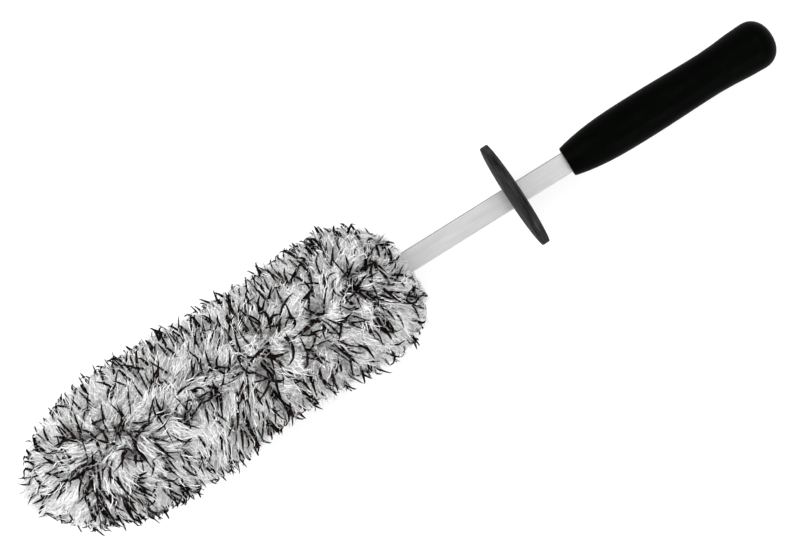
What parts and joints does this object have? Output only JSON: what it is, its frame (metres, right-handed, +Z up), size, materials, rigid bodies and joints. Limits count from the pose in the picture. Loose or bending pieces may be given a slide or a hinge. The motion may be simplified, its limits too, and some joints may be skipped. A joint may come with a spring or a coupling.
{
  "type": "wheel brush",
  "caption": "Hand brush for cleaning wheels: a long plush head on a flat metal bar, a rubber guard that slides along the bar, and a soft grip with a flared butt.",
  "frame": {"origin": "centre of the outer box at its base, on the surface that the brush lies on", "axes": "+X level along the brush from the head towards the handle, +Z up; the brush's own axis dips 6.62 degrees below +X, because it lies on its pile's rear shoulder and on its butt"},
  "size_m": [0.4474, 0.0854, 0.1018],
  "materials": {
    "aluminium": "satin",
    "guard_rubber": "matte",
    "grip_rubber": "matte",
    "core_plastic": "matte",
    "core_foam": "matte",
    "pile": "matte",
    "thread": "matte",
    "pin_steel": "satin"
  },
  "bodies": {
    "brush": {"flat_bar": "aluminium", "bar_tip_cap": "guard_rubber", "foam_core_upper": "core_foam", "foam_core_lower": "core_foam", "pile_sleeve": "pile", "pile_tip_patch": "pile", "tip_seam_thread": "thread", "neck_collar": "core_plastic", "neck_collar_pin": "pin_steel", "neck_tie": "thread", "handle_core_upper": "core_plastic", "handle_core_lower": "core_plastic", "handle_pin_front": "pin_steel", "handle_pin_rear": "pin_steel", "handle_grip": "grip_rubber"},
    "guard": {"guard_disc": "guard_rubber"}
  },
  "joints": [
    {"name": "guard_slide", "type": "slide", "parent": "brush", "child": "guard", "axis": [0.9933, 0, -0.1153], "range_m": [-0.06, 0.027]}
  ]
}
